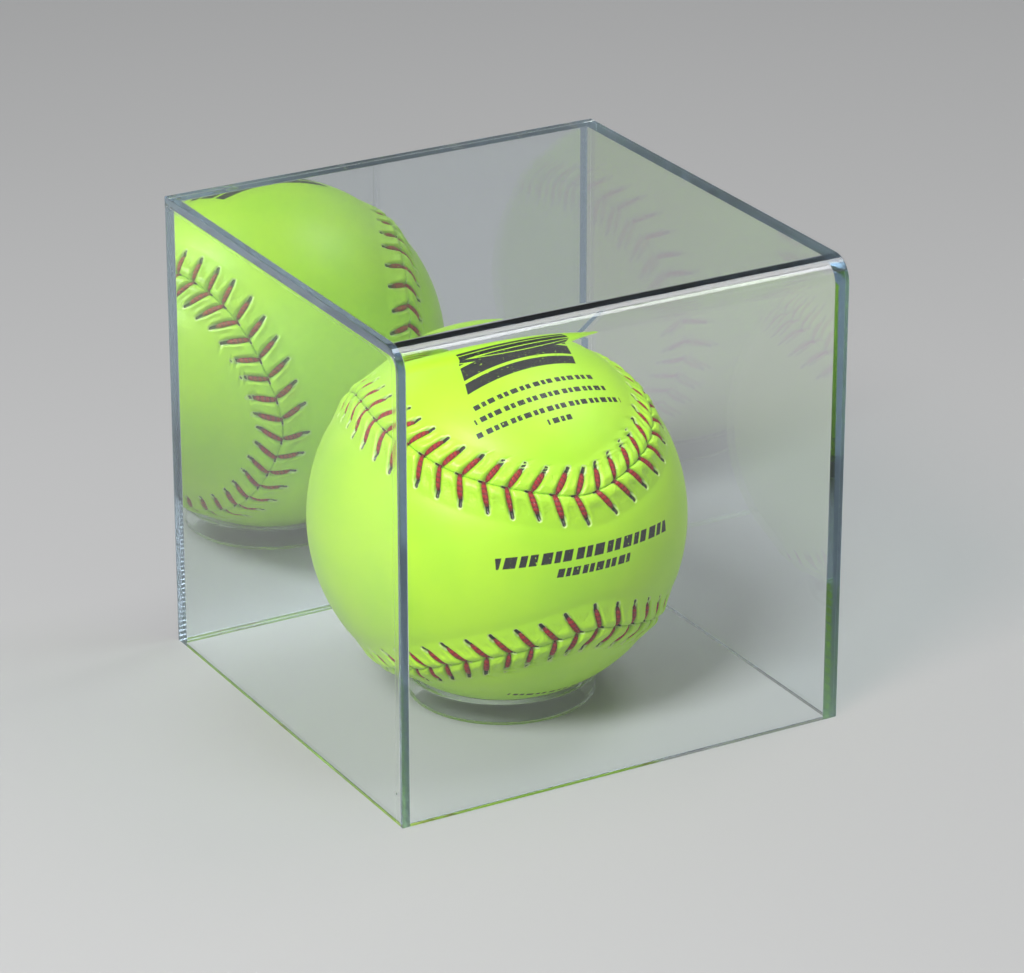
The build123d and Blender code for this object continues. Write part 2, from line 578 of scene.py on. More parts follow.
@dataclass(frozen=True)
class MouldedCore:
    """Moulded core of the ball: buff compound with granules and faint mould marks."""

    name: str
    buff: Colour = (0.50, 0.40, 0.24)
    granule: Colour = (0.26, 0.18, 0.09)

    def build(self) -> Material:
        """Returns the material."""
        graph = Graph(self.name)
        bits = graph.cells(420.0)
        patches = graph.noise(90.0, 4.0)
        colour = graph.mix(self.buff, self.granule, bits.rise(0.42, 0.16) * 0.7 + patches * 0.3)
        return graph.principled({
            "Base Color": colour, "Roughness": 0.72 + patches * 0.2,
            "Normal": graph.bump(bits, 0.12 * MM)})


@dataclass(frozen=True)
class StudioFloor:
    """Pale satin table top."""

    name: str
    pale: Colour = (0.43, 0.43, 0.43)

    def build(self) -> Material:
        """Returns the material."""
        graph = Graph(self.name)
        cloud = graph.noise(3.0, 2.0)
        shade = graph.mix(self.pale, tuple(c * 0.97 for c in self.pale), cloud)
        return graph.principled({
            "Base Color": shade, "Roughness": 0.75, "Specular IOR Level": 0.12})


# ---------------------------------------------------------------- meshes


def read(items: Any, key: str, width: int = 1, kind: type = float) -> Array:
    """One property of a mesh's vertices, edges, loops or faces, width numbers a row."""
    numbers = np.empty(len(items) * width, kind)
    items.foreach_get(key, numbers)
    return numbers.reshape(-1, width) if width > 1 else numbers


def label(mesh: bpy.types.Mesh, name: str, kind: str, domain: str, numbers: Array) -> None:
    """Gives a mesh a named attribute with one number for each item of the domain."""
    mesh.attributes.new(name, kind, domain).data.foreach_set("value", numbers)


@dataclass
class Surface:
    """Vertices and faces of a mesh under construction.

    Attributes:
        vertices: n by 3 places.
        faces: index rows, each wound anticlockwise seen from outside.
        values: name to one number for each vertex, which the materials read.
        uv: two numbers for each vertex, written to the corners of its faces.
    """

    vertices: Array
    faces: list[list[int]]
    values: dict[str, Array] = field(default_factory=dict)
    uv: Array | None = None

    def joined(self, other: "Surface") -> "Surface":
        """This surface and another as one."""
        start = len(self.vertices)
        faces = self.faces + [[corner + start for corner in face] for face in other.faces]
        return Surface(np.concatenate([self.vertices, other.vertices]), faces)

    def make(self, name: str, material: Material, smooth: bool = True) -> bpy.types.Object:
        """Makes the object, at the origin.

        Args:
            name: the piece's name.
            material: its finish.
            smooth: whether faces shade into each other.

        Returns:
            The object, linked to the scene.
        """
        mesh = bpy.data.meshes.new(name)
        mesh.from_pydata(self.vertices.tolist(), [], self.faces)
        mesh.update()
        for key, numbers in self.values.items():
            label(mesh, key, "FLOAT", "POINT", np.asarray(numbers, np.float32))
        if self.uv is not None:
            corners = read(mesh.loops, "vertex_index", kind=int)
            layer = mesh.uv_layers.new(name="UVMap")
            layer.data.foreach_set("uv", self.uv[corners].astype(np.float32).ravel())
        mesh.polygons.foreach_set("use_smooth", np.full(len(mesh.polygons), smooth))
        mesh.materials.append(material)
        piece = bpy.data.objects.new(name, mesh)
        bpy.context.scene.collection.objects.link(piece)
        LOG.info("%s: %d vertices, %d faces", name, len(mesh.vertices), len(mesh.polygons))
        return piece


def grid_quads(rows: int, columns: int, start: int = 0, close: bool = False) -> Array:
    """Faces of a rows by columns grid of vertices, wound row against column.

    Args:
        rows: vertices down the grid.
        columns: vertices across it.
        start: number of the grid's first vertex.
        close: whether the last column joins the first.

    Returns:
        An array of four vertex numbers a face.
    """
    across = columns if close else columns - 1
    i, j = np.meshgrid(np.arange(rows - 1), np.arange(across), indexing="ij")
    k = (j + 1) % columns
    corners = (i * columns + j, i * columns + k, (i + 1) * columns + k, (i + 1) * columns + j)
    return start + np.stack(corners, -1).reshape(-1, 4)


def capped_tubes(count: int, rings: int, sides: int) -> list[list[int]]:
    """Faces of many separate tubes, each a stack of rings closed at both ends.

    Args:
        count: how many tubes.
        rings: rings of vertices in each.
        sides: vertices round each ring.

    Returns:
        Faces over the vertices in the order tube, ring, side.
    """
    quads = grid_quads(rings, sides, close=True)
    first = np.arange(sides)[::-1]
    last = np.arange((rings - 1) * sides, rings * sides)
    faces = []
    for start in np.arange(count) * rings * sides:
        faces += (quads + start).tolist() + [(first + start).tolist(), (last + start).tolist()]
    return faces


def arc(centre: tuple[float, float], radius: float, first: float, last: float, steps: int) -> Array:
    """Points on an arc in a plane: the centre plus the radius at evenly spaced angles."""
    angle = np.linspace(radians(first), radians(last), steps + 1)
    return np.stack([centre[0] + radius * np.cos(angle), centre[1] + radius * np.sin(angle)], 1)


def unit(vectors: Array) -> Array:
    """Each row brought to length one."""
    return vectors / np.linalg.norm(vectors, axis=-1, keepdims=True)


def bell(distance: Array, width: float) -> Array:
    """1 at zero, falling off as a bell of that width."""
    return np.exp(-((distance / width) ** 2))


def to_segment(points: Array, start: Array, end: Array) -> Array:
    """Distance from each point to its own straight segment from start to end."""
    run = end - start
    share = np.einsum("ij,ij->i", points - start, run) / np.einsum("ij,ij->i", run, run)
    nearest = start + np.clip(share, 0, 1)[:, None] * run
    return np.linalg.norm(points - nearest, axis=1)


def settle(piece: bpy.types.Object, body: Body, slot: Slot, *nodes: str) -> bpy.types.Object:
    """Puts a piece on its body, in its slot, in place of its nodes, and returns it."""
    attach(piece, body.value)
    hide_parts(*nodes)
    return piece


def dress(node: bpy.types.Object, material: Material) -> None:
    """Gives a packed node a finish in place of its plain one."""
    if not node.material_slots:
        node.data.materials.append(material)
    for place in node.material_slots:
        place.material = material


# ---------------------------------------------------------------- the cube


@dataclass
class DisplayCube:
    """The lift-off cube: clear sheets welded into one body, and the mirror's backing.

    Attributes:
        bend_inner: radius inside the heat-bent top front edge.
        bend_steps: facets round the bend.
        edge: width of the eased edges.
        film_gap: air between the clear sheet and the silver film.
        bubbles: middle and half length, across the cube, of each void in the weld over the mirror.
        bubble_half_width: their reach along the cube's depth.
        bubble_half_depth: half their thickness.
    """

    bend_inner: float = 3.5 * MM
    bend_steps: int = 20
    edge: float = 0.22 * MM
    film_gap: float = 0.05 * MM
    bubbles: tuple[tuple[float, float], ...] = (
        (-61.0 * MM, 0.7 * MM), (-49.5 * MM, 1.5 * MM), (-45.2 * MM, 2.3 * MM),
        (-12.0 * MM, 0.6 * MM), (22.0 * MM, 1.9 * MM), (41.0 * MM, 0.8 * MM), (58.0 * MM, 1.2 * MM))
    bubble_half_width: float = 0.70 * MM
    bubble_half_depth: float = 0.10 * MM

    def __post_init__(self) -> None:
        """Reads the sheets' places from the packed model."""
        low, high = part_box("front_and_top_sheet")
        side_low, side_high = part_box("left_side_panel")
        film_low, film_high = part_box("mirror_backing")
        self.half_width = high.x
        self.front, self.rear, self.top = low.y, high.y, high.z
        self.sheet = side_high.x - side_low.x
        self.inner_half_width = self.half_width - self.sheet
        self.inner_front = self.front + self.sheet
        self.inner_top = self.top - self.sheet
        self.mirror_face = side_high.y
        self.film_front, self.film_rear = film_low.y, film_high.y

    def _outer_profile(self) -> Array:
        """The cube seen from its side: up the front, round the bend, back over the top, down."""
        bend = self.bend_inner + self.sheet
        centre = (self.front + bend, self.top - bend)
        back = self.film_front - self.film_gap
        return np.concatenate([
            [(self.front, 0.0)],
            arc(centre, bend, 180.0, 90.0, self.bend_steps),
            [(self.rear, self.top), (self.rear, self.inner_top), (back, self.inner_top), (back, 0.0)]])

    def _inner_profile(self) -> Array:
        """The hollow seen from its side, in the same direction."""
        centre = (self.inner_front + self.bend_inner, self.inner_top - self.bend_inner)
        return np.concatenate([
            [(self.inner_front, 0.0)],
            arc(centre, self.bend_inner, 180.0, 90.0, self.bend_steps),
            [(self.mirror_face, self.inner_top), (self.mirror_face, 0.0)]])

    def _shell(self) -> Surface:
        """One closed surface: both profiles carried across the width, with sides and a rim.

        The inner profile's faces look into the hollow, and the rim joins the two along the floor.
        """
        outer, inner = self._outer_profile(), self._inner_profile()
        blocks, faces, rims, start = [], [], [], 0
        for profile, reach, order in ((outer, self.half_width, 1), (inner, self.inner_half_width, -1)):
            count = len(profile)
            block = np.empty((count, 2, 3))
            block[:, :, 0] = -reach, reach
            block[:, :, 1:] = profile[:, None, :]
            blocks.append(block.reshape(-1, 3))
            numbers = list(range(start, start + 2 * count))
            loops = grid_quads(count, 2, start).tolist() + [numbers[::2], numbers[:0:-2]]
            faces += [loop[::order] for loop in loops]
            rims.append([start, start + 1, numbers[-1], numbers[-2]])
            start += 2 * count
        rim, mouth = rims
        faces += [[rim[k], mouth[k], mouth[k - 3], rim[k - 3]] for k in range(4)]
        return Surface(np.concatenate(blocks), faces)

    def _weld_bubbles(self, rings: int = 9, sides: int = 16) -> Surface:
        """Flat voids caught in the weld between the top and the mirror's sheet.

        Each is an ellipsoid: along it by the cosine of an angle, round it by the sine. Its faces
        look into the void, because the acrylic is outside it.
        """
        middle, half = (np.array(v)[:, None, None] for v in zip(*self.bubbles))
        blunt = 0.12
        polar = np.linspace(blunt, pi - blunt, rings)[None, :, None]
        turn = (np.arange(sides) * 2 * pi / sides)[None, None, :]
        weld = (self.mirror_face + self.film_front) / 2
        places = np.stack(np.broadcast_arrays(
            middle + half * np.cos(polar),
            weld + self.bubble_half_width * np.sin(polar) * np.cos(turn),
            self.inner_top + self.bubble_half_depth * np.sin(polar) * np.sin(turn)), -1)
        return Surface(places.reshape(-1, 3), capped_tubes(len(self.bubbles), rings, sides))

    def _ease_edges(self, piece: bpy.types.Object) -> None:
        """Rounds the sheets' square edges a little; the ledge over the mirror stays sharp."""
        mesh = piece.data
        middle = read(mesh.vertices, "co", 3)[read(mesh.edges, "vertices", 2, int)].mean(1)
        height = middle[:, 2]
        ledge = (height > self.inner_top - self.edge) & (height < self.top - self.edge)
        ledge &= middle[:, 1] > self.film_front - 2 * self.film_gap
        square = self._square_edges(mesh)
        label(mesh, "bevel_weight_edge", "FLOAT", "EDGE", (square & ~ledge).astype(np.float32))
        label(mesh, "sharp_edge", "BOOLEAN", "EDGE", square & ledge)
        bevel = piece.modifiers.new("eased_edges", "BEVEL")
        bevel.limit_method = "WEIGHT"
        bevel.width = self.edge
        bevel.segments = 2
        bevel.use_clamp_overlap = False
        bevel.harden_normals = True

    @staticmethod
    def _square_edges(mesh: bpy.types.Mesh) -> Array:
        """True for each edge where two faces meet at more than 40 degrees."""
        sizes = read(mesh.polygons, "loop_total", kind=int)
        owner = np.repeat(np.arange(len(sizes)), sizes)
        order = np.argsort(read(mesh.loops, "edge_index", kind=int), kind="stable").reshape(-1, 2)
        pairs = read(mesh.polygons, "normal", 3)[owner[order]]
        return np.einsum("ij,ij->i", pairs[:, 0], pairs[:, 1]) < cos(radians(40.0))

    def build(self) -> None:
        """Makes the welded sheets and dresses the mirror's backing."""
        acrylic = WeldedAcrylic(
            "clear_welded_acrylic", inner_half_width=self.inner_half_width,
            inner_front=self.inner_front, inner_top=self.inner_top,
            mirror_face=self.mirror_face, rear=self.rear, bend=self.bend_inner)
        cube = self._shell().joined(self._weld_bubbles()).make("welded_clear_sheets", acrylic.build())
        self._ease_edges(cube)
        settle(cube, Body.COVER, Slot.ACRYLIC,
               "front_and_top_sheet", "left_side_panel", "right_side_panel", "mirror_sheet")
        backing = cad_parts["mirror_backing"]
        finish = MirrorBack("silver_and_paint", (self.film_front + self.film_rear) / 2)
        dress(backing, finish.build())
        LOG.info("mirror_backing: silvered in front, painted behind")


# ---------------------------------------------------------------- the riser


@dataclass
class RingRiser:
    """A slice of clear tube with fire-polished edges.

    Attributes:
        edge: radius of its rounded edges.
        facets: steps round the ring.
        arc_steps: steps round each edge.
        wall: thickness of the tube.
    """

    edge: float = 0.45 * MM
    facets: int = 180
    arc_steps: int = 5
    wall: float = 3.0 * MM

    def build(self) -> None:
        """Turns a rounded rectangle round the ring's axis."""
        low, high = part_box("riser_ring")
        centre = (low + high) / 2
        outer, height = (high.x - low.x) / 2, high.z
        inner = outer - self.wall
        edge = self.edge
        near, far, low_edge, high_edge = inner + edge, outer - edge, edge, height - edge
        corners = (far, low_edge), (far, high_edge), (near, high_edge), (near, low_edge)
        profile = np.concatenate([
            arc(corner, edge, 90 * k - 90, 90 * k, self.arc_steps) for k, corner in enumerate(corners)])
        angle = np.linspace(0, 2 * pi, self.facets, endpoint=False)[:, None]
        points = np.stack([
            centre.x + profile[:, 0] * np.cos(angle),
            centre.y + profile[:, 0] * np.sin(angle),
            np.broadcast_to(profile[:, 1], (self.facets, len(profile)))], -1)
        wrapped = np.concatenate([points, points[:1]])
        count = self.facets * len(profile)
        quads = grid_quads(len(wrapped), len(profile), close=True) % count
        ring = Surface(points.reshape(-1, 3), quads[:, ::-1].tolist())
        piece = ring.make("clear_ring_riser", ClearAcrylic("clear_tube_acrylic").build())
        settle(piece, Body.RISER, Slot.ACRYLIC, "riser_ring")


# ---------------------------------------------------------------- the ball


@dataclass
class Seam:
    """The figure-eight seam on a unit sphere, with its stitches.

    Attributes:
        waist: half the narrowest width of a panel, as an angle.
        tip: how far the ball is tipped back.
        stitches: V stitches in the whole lap.
        phase: where the first stitch sits, in stitches.
        samples: points for each stitch that stand for the seam.
    """

    waist: float = radians(22.0)
    tip: float = radians(4.4)
    stitches: int = 88
    phase: float = 0.4
    samples: int = 24

    def __post_init__(self) -> None:
        """Spaces points evenly along the seam."""
        self.to_world = np.array([
            [0.0, -sin(self.tip), -cos(self.tip)],
            [1.0, 0.0, 0.0],
            [0.0, -cos(self.tip), sin(self.tip)]])
        turn = np.linspace(0, 4 * pi, 40001)
        places = self.direction(turn)
        steps = np.linalg.norm(np.diff(places, axis=0), axis=1)
        length = np.concatenate([[0.0], np.cumsum(steps)])
        self.lap = length[-1]
        self._turn, self._length = turn, length
        self.marks = np.arange(self.stitches * self.samples) / self.samples
        self.points = self.direction(self.turn_at(self.marks))

    def direction(self, turn: Array) -> Array:
        """Directions to the seam at turn, 0 to 4 pi, in the packed model's axes.

        The angle from the ball's own pole swings between the two poles twice a lap as a cosine,
        and the angle round the pole grows steadily with a ripple.
        """
        polar = pi / 2 - (pi / 2 - self.waist) * np.cos(turn)
        round_pole = turn / 2 + self.waist * np.sin(2 * turn)
        own = np.stack([np.sin(polar) * np.cos(round_pole), np.sin(polar) * np.sin(round_pole),
                        np.cos(polar)], -1)
        return own @ self.to_world

    def turn_at(self, stitch: Array) -> Array:
        """The turn at a distance along the seam given in stitches."""
        share = np.mod(stitch, self.stitches) / self.stitches
        return np.interp(share * self.lap, self._length, self._turn)

    def ahead(self, stitch: Array) -> Array:
        """Unit directions along the seam."""
        turn = self.turn_at(stitch)
        return unit(self.direction(turn + 1e-4) - self.direction(turn - 1e-4))

    def nearest(self, directions: Array, block: int = 4096) -> tuple[Array, Array]:
        """How far each direction is from the seam, as an angle, and where along it in stitches."""
        angle = np.empty(len(directions))
        mark = np.empty(len(directions))
        points = self.points.astype(np.float32)
        for start in range(0, len(directions), block):
            part = slice(start, start + block)
            near = np.argmax(directions[part].astype(np.float32) @ points.T, axis=1)
            gap = np.linalg.norm(directions[part] - self.points[near], axis=1)
            angle[part] = 2 * np.arcsin(np.clip(gap / 2, 0, 1))
            mark[part] = self.marks[near]
        return angle, mark


@dataclass
class Lacing:
    """Both legs of every V stitch: where they start beside the seam, end, and where the hole is.

    Attributes:
        radius: of the ball.
        spread: how far a leg's end is from the seam.
        lean: how far it trails behind the stitch.
        hole_spread: the same for the far end of the hole.
        hole_lean: the same for the far end of the hole.
        hole_half_width: of the hole.
        notch_length: length of the slit beside each stitch, along the butt of the panels.
        notch_half_width: half its width.
        half_width: widest half width of the thread.
        tip_half_width: half width at a leg's ends.
        half_height: half thickness at a leg's ends.
        swell_height: how much more it is in the middle.
        dive: how far a leg's ends go below the ball's surface.
        rings: sections along a leg.
        sides: points round a section.
        top_leg: the leg of each pair that crosses the seam, over the other's head.
        unevenness: of each hole, how far out, how far behind and how long it is.
        seed: for the unevenness of hand stitching.
    """

    seam: Seam
    radius: float
    spread: float = 5.7 * MM
    lean: float = 2.4 * MM
    hole_spread: float = 7.2 * MM
    hole_lean: float = 3.0 * MM
    hole_half_width: float = 0.50 * MM
    notch_length: float = 1.5 * MM
    notch_half_width: float = 0.26 * MM
    half_width: float = 0.76 * MM
    tip_half_width: float = 0.40 * MM
    half_height: float = 0.14 * MM
    swell_height: float = 0.30 * MM
    dive: float = 0.70 * MM
    rings: int = 10
    sides: int = 8
    top_leg: Side = Side.LEFT
    unevenness: tuple[float, float, float] = (0.22, 0.20, 0.12)
    seed: int = 7

    def __post_init__(self) -> None:
        """Works out every leg's ends, stitch by side by place, slightly uneven."""
        rng = np.random.default_rng(self.seed)
        count = self.seam.stitches
        stitch = np.arange(count) + self.seam.phase + rng.normal(0, 0.02, count)
        hub = self.seam.direction(self.seam.turn_at(stitch))
        ahead = self.seam.ahead(stitch)
        across = np.cross(hub, ahead)
        side = np.array([place.value for place in Side])[None, :, None]
        sideways = across[:, None, :] * side
        uneven = rng.normal(0, 1, (count, 2, 3)) * np.array(self.unevenness) * MM
        out_by, back_by, long_by = np.moveaxis(uneven, -1, 0)

        def out_to(spread: Array | float, lean: Array | float) -> Array:
            """Directions to points that far from the seam and behind the stitch."""
            spread, lean = (np.broadcast_to(v, (count, 2))[..., None] for v in (spread, lean))
            return unit(hub[:, None, :] * self.radius + sideways * spread - ahead[:, None, :] * lean)

        over = side[..., 0] == self.top_leg.value
        self.start = out_to(np.where(over, -0.30, 0.25) * MM, np.where(over, -0.50, 0.15) * MM)
        self.end = out_to(self.spread + out_by, self.lean + back_by)
        self.hole_start = out_to(self.spread + out_by - 0.1 * MM, self.lean + back_by)
        self.hole_end = out_to(self.hole_spread + out_by + long_by, self.hole_lean + back_by)
        self.notch_end = unit(hub * self.radius + ahead * self.notch_length)
        self.hub = hub
        self.across = across
        self.weight = 1 + rng.normal(0, 0.08, (count, 2))

    def nearby(self, directions: Array, mark: Array) -> tuple[Array, Array]:
        """Distance to the nearest leg, and to the nearest hole or notch as a share of its size.

        Args:
            directions: unit directions of points on the cover.
            mark: where each lies along the seam, in stitches.

        Returns:
            Metres to a leg, and 1 on a hole's rim, 0 in its middle.
        """
        points = directions * self.radius

        def gap(start: Array, end: Array) -> Array:
            """Distance to the segment between two directions' points on the ball."""
            return to_segment(points, start * self.radius, end * self.radius)

        own = np.rint(mark - self.seam.phase).astype(int)
        side = np.einsum("ij,ij->i", self.across[own % self.seam.stitches], directions)
        which = np.where(side > 0, 0, 1)
        leg = np.full(len(points), np.inf)
        hole = np.full(len(points), np.inf)
        for shift in (-1, 0, 1):
            stitch = (own + shift) % self.seam.stitches
            leg = np.minimum(leg, gap(self.start[stitch, which], self.end[stitch, which]))
            pit = gap(self.hole_start[stitch, which], self.hole_end[stitch, which])
            slit = gap(self.hub[stitch], self.notch_end[stitch]) / self.notch_half_width
            hole = np.minimum(hole, np.minimum(pit / self.hole_half_width, slit))
        return leg, hole

    def surface(self) -> Surface:
        """Every leg as a tube whose section is an ellipse.

        Along a leg, with t from 0 to 1, the height and both half axes follow the square root of
        sin(pi t), so the thread dives into the seam at one end and into its hole at the other.
        """
        t = (np.arange(self.rings) + 0.5) / self.rings
        t = (t - t[0]) / (t[-1] - t[0]) * 0.98 + 0.01
        swell = np.sqrt(np.sin(pi * t))
        start = self.start.reshape(-1, 1, 3)
        end = self.end.reshape(-1, 1, 3)
        centre = unit(start * (1 - t)[None, :, None] + end * t[None, :, None])
        run = unit(np.broadcast_to(end - start, centre.shape))
        sideways = unit(np.cross(centre, run))
        angle = np.arange(self.sides) * 2 * pi / self.sides
        weight = self.weight.reshape(-1, 1, 1, 1)
        tip = self.tip_half_width
        wide = (tip + (self.half_width - tip) * swell)[None, :, None, None] * weight
        high = (self.half_height + self.swell_height * swell)[None, :, None, None]
        lift = (-self.dive + self.dive * swell)[None, :, None, None]
        middle = centre[:, :, None, :] * (self.radius + lift)
        section = (sideways[:, :, None, :] * wide * np.cos(angle)[None, None, :, None]
                   + centre[:, :, None, :] * high * np.sin(angle)[None, None, :, None])
        points = middle + section
        legs = len(points)
        around, along = np.meshgrid(np.arange(self.sides) / self.sides, np.tile(t, legs))
        uv = np.stack([around.ravel(), along.ravel()], 1)
        return Surface(points.reshape(-1, 3), capped_tubes(legs, self.rings, self.sides), uv=uv)


@dataclass
class CoverPanel:
    """One figure-eight panel, pulled into relief by its stitches.

    A point of the panel is reached by two numbers: turn, half a lap of the seam, and the share
    of the great-circle arc from the seam at turn to the seam at minus turn.

    Attributes:
        seam: the seam round it.
        lacing: the stitches in it.
        radius: of the ball.
        side: the side of the seam that the panel lies on.
        first_turn: where the panel's half lap begins.
        rows: points along the half lap.
        edge_columns: points across each margin beside the seam.
        field_columns: points across the plain middle.
        back_columns: points across the inside.
        margin: width of the closely spaced margin.
        thickness: of the cover.
        tip_turn: turn left out at each end of the half lap, where the arc has no length.
    """

    seam: Seam
    lacing: Lacing
    radius: float
    side: Side
    first_turn: float
    rows: int = 860
    edge_columns: int = 30
    field_columns: int = 24
    back_columns: int = 8
    margin: float = 9.5 * MM
    thickness: float = 1.55 * MM
    tip_turn: float = 0.004

    def _columns(self, width: Array) -> Array:
        """Shares across each row: close together in the margins, wide apart between them."""
        margin = np.minimum(self.margin / self.radius, width * 0.42)[:, None]
        edge = np.linspace(0, 1, self.edge_columns, endpoint=False)[None, :]
        middle = np.linspace(0, 1, self.field_columns + 1)[None, :]
        near = edge * margin
        across = margin + middle * (width[:, None] - 2 * margin)
        far = width[:, None] - near[:, ::-1]
        return np.concatenate([near, across, far], 1) / width[:, None]

    @staticmethod
    def _arcs(share: Array, left: Array, right: Array, width: Array) -> Array:
        """Points at shares of the great-circle arcs from left to right."""
        wide = width[:, None]
        scale = np.sin(wide)
        a = np.sin((1 - share) * wide) / scale
        b = np.sin(share * wide) / scale
        return unit(a[..., None] * left[:, None, :] + b[..., None] * right[:, None, :])

    def relief(self, directions: Array) -> tuple[Array, dict[str, Array]]:
        """How far the cover stands off the sphere, and what the finish reads.

        The margin swells towards the seam, puckers up between stitches, sinks under each leg,
        and drops into the butt line, the holes and the notch at each stitch.
        """
        angle, mark = self.seam.nearest(directions)
        seam = angle * self.radius / MM
        leg, hole = self.lacing.nearby(directions, mark)
        leg = leg / MM
        between = 1 - bell(leg, 1.5)
        height = 0.18 * bell(seam, 5.5)  # the whole margin, in millimetres
        height += 0.74 * between * bell(seam - 1.8, 1.7)  # puckers between stitches
        height += 0.30 * bell(leg - 1.45, 0.6) * bell(seam - 3.4, 3.0)  # rolls beside a leg
        height -= 0.62 * bell(leg, 0.85)  # the furrow under a leg
        height -= 0.42 * bell(seam, 0.22)  # the butt line
        height -= 0.14 * bell(seam - 8.6, 1.6)  # the hollow behind the margin
        height -= 0.70 * np.clip(1.25 - hole, 0, 1) ** 0.7  # holes and notches
        height = np.maximum(height, -1.15)
        return height * MM, {"seam": seam, "hole": hole, "leg": leg}

    def surface(self) -> Surface:
        """The closed panel: relief outside, plain sphere inside, joined by walls all round."""
        # Rows are spaced evenly along the seam, not in turn.
        fine = np.linspace(self.tip_turn, 2 * pi - self.tip_turn, 20001)
        places = self.seam.direction(self.first_turn + fine)
        run = np.concatenate([[0.0], np.cumsum(np.linalg.norm(np.diff(places, axis=0), axis=1))])
        turn = np.interp(np.linspace(0, run[-1], self.rows), run, fine)
        left = self.seam.direction(self.first_turn - self.side.value * turn)
        right = self.seam.direction(self.first_turn + self.side.value * turn)
        width = 2 * np.arcsin(np.clip(np.linalg.norm(left - right, axis=1) / 2, 0, 1))
        outside = self._arcs(self._columns(width), left, right, width)
        shares = np.tile(np.linspace(0, 1, self.back_columns), (self.rows, 1))
        inside = self._arcs(shares, left, right, width)
        flat = outside.reshape(-1, 3)
        height, values = self.relief(flat)
        skin = flat * (self.radius + height)[:, None]
        back = inside.reshape(-1, 3) * (self.radius - self.thickness)
        columns, start = outside.shape[1], len(skin)
        faces = grid_quads(self.rows, columns).tolist()
        faces += grid_quads(self.rows, self.back_columns, start)[:, ::-1].tolist()
        rows = np.arange(self.rows - 1)
        for edge, rear, turned in ((0, 0, False), (columns - 1, self.back_columns - 1, True)):
            wall = np.stack([rows * columns + edge, (rows + 1) * columns + edge,
                             start + (rows + 1) * self.back_columns + rear,
                             start + rows * self.back_columns + rear], 1)
            faces += (wall[:, ::-1] if turned else wall).tolist()
        first, last = (
            [*range(row * columns, (row + 1) * columns),
             *range(start + (row + 1) * self.back_columns - 1, start + row * self.back_columns - 1, -1)]
            for row in (0, self.rows - 1))
        faces += [first[::-1], last]
        far = np.full(len(back), 99.0)
        values = {key: np.concatenate([numbers, far]) for key, numbers in values.items()}
        return Surface(np.concatenate([skin, back]), faces, values)


@dataclass
class Softball:
    """The ball: two relief panels and their lacing over the moulded core.

    Attributes:
        radius: of the ball.
    """

    radius: float = 48.5 * MM

    def build(self) -> None:
        """Makes the panels and lacing about the core's middle."""
        low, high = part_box("ball_core")
        centre = (low + high) / 2
        seam = Seam()
        lacing = Lacing(seam, self.radius)
        leather = StitchedCover(
            "optic_yellow_cover", centre, bars=self._bars(),
            badge_tilt=80.2, badge_middle=0.0,
            badge_half_width=16.2 * MM, badge_half_height=7.2 * MM)
        finish = leather.build()
        for node, name, side, turn in (
                ("ball_panel_top_and_bottom", "cover_panel_top_and_bottom", Side.RIGHT, 0.0),
                ("ball_panel_sides", "cover_panel_sides", Side.LEFT, pi)):
            panel = CoverPanel(seam, lacing, self.radius, side, turn).surface()
            panel.vertices = panel.vertices + np.array(centre)
            settle(panel.make(name, finish), Body.BALL, Slot.COVER, node)
        thread = lacing.surface()
        thread.vertices = thread.vertices + np.array(centre)
        piece = thread.make("red_lacing", WaxedThread("waxed_red_thread").build())
        settle(piece, Body.BALL, Slot.THREAD, "seam_thread")
        dress(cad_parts["ball_core"], MouldedCore("moulded_buff_core").build())
        LOG.info("ball_core: moulded finish under the cover")

    @staticmethod
    def _bars() -> tuple[InkBar, ...]:
        """Plain broken rules: four thin on top, two bold in front and a thin one underneath."""
        thin = {"half_height": 0.85 * MM, "block": 2.1 * MM, "slant": 0.0, "gap": 0.28}
        lean = 2.2
        return (
            InkBar(64.9, -2.0 * MM, 18.0 * MM, **thin, lean=lean),
            InkBar(60.0, -1.2 * MM, 19.3 * MM, **thin, lean=lean),
            InkBar(55.1, -0.4 * MM, 21.6 * MM, **thin, lean=lean),
            InkBar(50.8, 0.2 * MM, 4.1 * MM, **thin, lean=lean),
            InkBar(9.6, 0.0, 25.0 * MM, 1.55 * MM, block=2.9 * MM),
            InkBar(4.4, 0.0, 11.0 * MM, 1.2 * MM, block=2.2 * MM),
            InkBar(-53.0, -1.5 * MM, 12.5 * MM, **thin),
        )


# ---------------------------------------------------------------- the studio


@dataclass(frozen=True)
class Softbox:
    """A square lamp that looks at the cube.

    Attributes:
        name: the lamp's name.
        place: where it hangs.
        width: its side.
        watts: its power.
    """

    name: str
    place: tuple[float, float, float]
    width: float
    watts: float

    def build(self, target: Vector) -> None:
        """Hangs the lamp, turned to the target."""
        lamp = bpy.data.lights.new(self.name, "AREA")
        lamp.shape = "SQUARE"
        lamp.size = self.width
        lamp.energy = self.watts
        holder = bpy.data.objects.new(self.name, lamp)
        holder.location = self.place
        holder.rotation_euler = (target - Vector(self.place)).to_track_quat("-Z", "Y").to_euler()
        bpy.context.scene.collection.objects.link(holder)


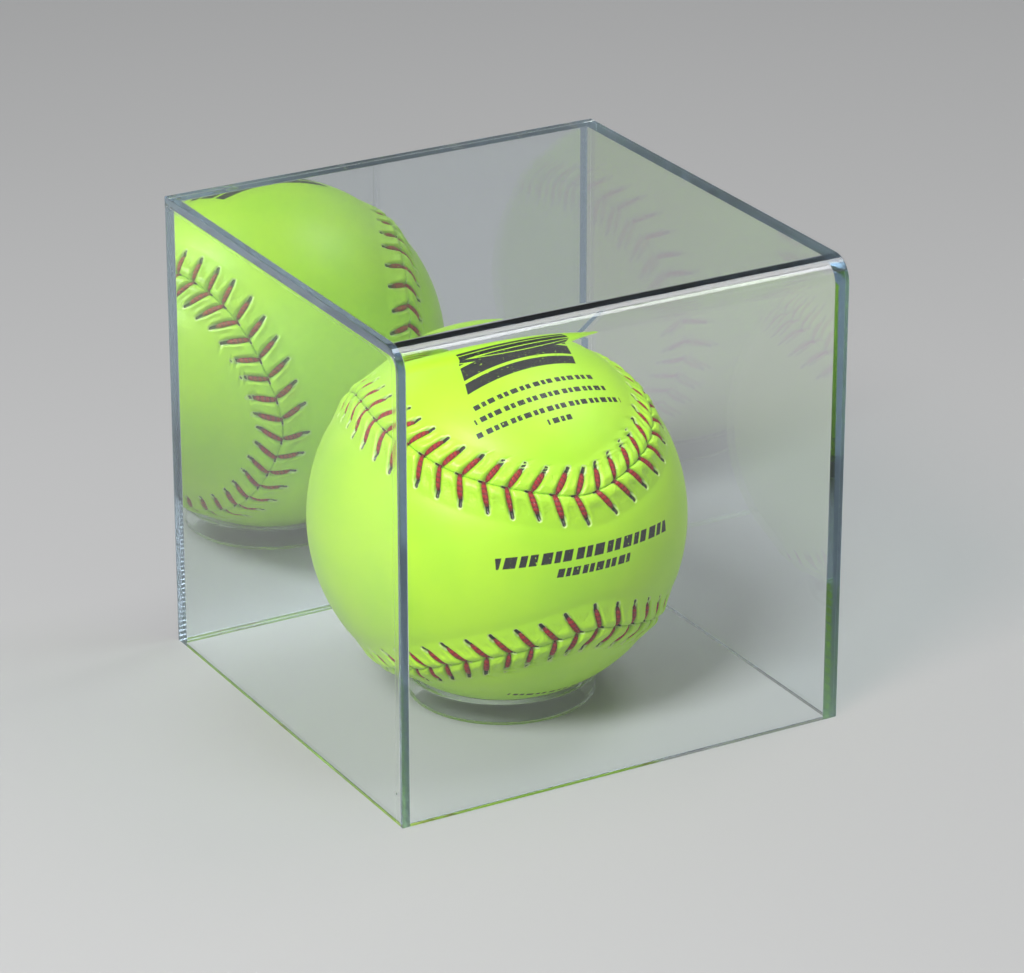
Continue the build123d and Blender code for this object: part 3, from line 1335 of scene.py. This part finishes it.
@dataclass
class Studio:
    """Pale floor, soft lamps and the camera.

    Attributes:
        azimuth: degrees that the camera stands to the left of the front.
        elevation: degrees above the floor.
        distance: from the point that it looks at.
        target: that point.
        lens: focal length in millimetres on a sensor_width wide sensor.
        sensor_width: in millimetres.
        floor_half: half the floor's side.
        floor_drop: how far it lies below the part's lowest faces.
        ambient: strength of the light from all round.
        bounces: how many walls a ray may cross.
        lamps: the soft lamps.
    """

    azimuth: float = 29.63
    elevation: float = 23.09
    distance: float = 1.2065
    target: Vector = field(default_factory=lambda: Vector((0.0104, 0.0126, 0.0483)))
    lens: float = 160.25
    sensor_width: float = 36.0
    floor_half: float = 6.0
    floor_drop: float = 0.1 * MM
    ambient: float = 0.23
    bounces: int = 48
    lamps: tuple[Softbox, ...] = (
        Softbox("key", (-0.88, -0.46, 1.10), 0.45, 25.0),
        Softbox("fill", (1.3, -0.9, 0.8), 0.9, 2.0),
        Softbox("crown", (0.64, 0.0, 1.28), 0.5, 6.0),
    )

    def build(self) -> None:
        """Makes the floor, lamps, surroundings and camera."""
        half = self.floor_half
        corners = [(-half, -half), (half, -half), (half, half), (-half, half)]
        floor = Surface(np.array([(x, y, -self.floor_drop) for x, y in corners]), [[0, 1, 2, 3]])
        floor.make("pale_floor", StudioFloor("pale_floor").build(), smooth=False)
        for lamp in self.lamps:
            lamp.build(self.target)
        world = bpy.data.worlds.new("soft_surroundings")
        world.use_nodes = True
        sky = world.node_tree.nodes["Background"].inputs
        sky["Color"].default_value = (0.94, 0.97, 1.0, 1.0)
        sky["Strength"].default_value = self.ambient
        bpy.context.scene.world = world
        self._camera()
        self._light_paths()

    def _camera(self) -> None:
        """Stands the camera at its azimuth, elevation and distance from the target."""
        left, up = radians(self.azimuth), radians(self.elevation)
        back = Vector((-sin(left) * cos(up), -cos(left) * cos(up), sin(up)))
        lens = bpy.data.cameras.new("camera")
        lens.lens = self.lens
        lens.sensor_width = self.sensor_width
        lens.clip_start = 0.01
        camera = bpy.data.objects.new("camera", lens)
        camera.location = self.target + back * self.distance
        camera.rotation_euler = (-back).to_track_quat("-Z", "Y").to_euler()
        bpy.context.scene.collection.objects.link(camera)
        bpy.context.scene.camera = camera

    def _light_paths(self) -> None:
        """Lets light cross the cube's many walls, and keeps colours as bright as they are."""
        cycles = bpy.context.scene.cycles
        cycles.max_bounces = cycles.transmission_bounces = cycles.glossy_bounces = self.bounces
        cycles.diffuse_bounces = 3
        cycles.transparent_max_bounces = 24
        bpy.context.scene.view_settings.view_transform = "Standard"


def main() -> None:
    """Builds the studio and the object's pieces, then writes the two boxes."""
    logging.basicConfig(level=logging.INFO, format="%(name)s %(message)s")
    Studio().build()
    DisplayCube().build()
    RingRiser().build()
    Softball().build()


if __name__ == "__main__":
    main()
